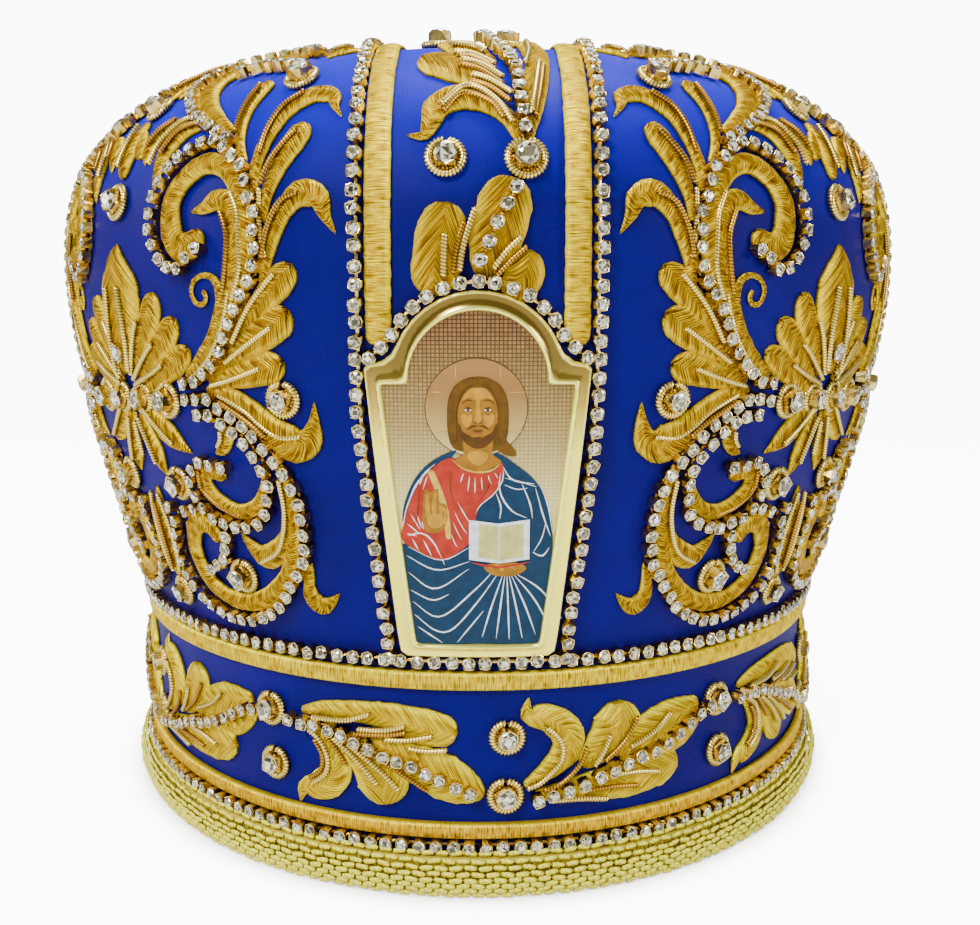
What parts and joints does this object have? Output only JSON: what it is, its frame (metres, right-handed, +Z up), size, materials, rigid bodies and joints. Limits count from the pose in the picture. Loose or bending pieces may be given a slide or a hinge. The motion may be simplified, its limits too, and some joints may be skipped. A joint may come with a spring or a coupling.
{
  "type": "bishop mitre",
  "caption": "Tall oval mitre: a padded cloth crown bulging over an upright head band, with a woven braid rim, raised scroll embroidery, stone chains and small icon plates.",
  "frame": {"origin": "centre of the oval of the rim, on the surface that the mitre stands on", "axes": "+Z up through the crown, -Y towards the front, +X to the right as seen from the front"},
  "size_m": [0.2294, 0.2494, 0.1875],
  "materials": {
    "blue_cloth": "royal blue satin cloth over padding",
    "gold_satin": "yellow gold thread in satin stitch",
    "gold_braid": "pale gold metal thread, woven",
    "gold_bullion": "coiled fine wire",
    "stone_chain": "bright plated cups",
    "stones": "clear, cut and foiled behind",
    "icon_brass": "polished, pale",
    "icon_picture": "printed metal plate, satin"
  },
  "bodies": {
    "root": {"head_band": "blue_cloth", "crown_shell": "blue_cloth", "rim_braid": "gold_braid", "lower_gold_cord": "gold_satin", "upper_gold_band": "gold_satin", "rim_chain": "stone_chain", "junction_chain": "stone_chain", "top_chain": "stone_chain", "front_gold_band_left": "gold_satin", "front_chain_left": "stone_chain", "front_gold_band_right": "gold_satin", "front_chain_right": "stone_chain", "front_icon_frame": "icon_brass", "front_icon_plate": "icon_picture", "front_icon_chain": "stone_chain", "front_spray": "gold_satin", "right_gold_band_left": "gold_satin", "right_chain_left": "stone_chain", "right_gold_band_right": "gold_satin", "right_chain_right": "stone_chain", "right_icon_frame": "icon_brass", "right_icon_plate": "icon_picture", "right_icon_chain": "stone_chain", "right_spray": "gold_satin", "back_gold_band_left": "gold_satin", "back_chain_left": "stone_chain", "back_gold_band_right": "gold_satin", "back_chain_right": "stone_chain", "back_icon_frame": "icon_brass", "back_icon_plate": "icon_picture", "back_icon_chain": "stone_chain", "back_spray": "gold_satin", "left_gold_band_left": "gold_satin", "left_chain_left": "stone_chain", "left_gold_band_right": "gold_satin", "left_chain_right": "stone_chain", "left_icon_frame": "icon_brass", "left_icon_plate": "icon_picture", "left_icon_chain": "stone_chain", "left_spray": "gold_satin", "front_left_scroll_left": "gold_satin", "front_left_scroll_right": "gold_satin", "front_left_palmette": "gold_satin", "front_right_scroll_left": "gold_satin", "front_right_scroll_right": "gold_satin", "front_right_palmette": "gold_satin", "back_right_scroll_left": "gold_satin", "back_right_scroll_right": "gold_satin", "back_right_palmette": "gold_satin", "back_left_scroll_left": "gold_satin", "back_left_scroll_right": "gold_satin", "back_left_palmette": "gold_satin", "garland_1": "gold_satin", "garland_2": "gold_satin", "garland_3": "gold_satin", "garland_4": "gold_satin", "garland_5": "gold_satin", "garland_6": "gold_satin"}
  },
  "joints": []
}
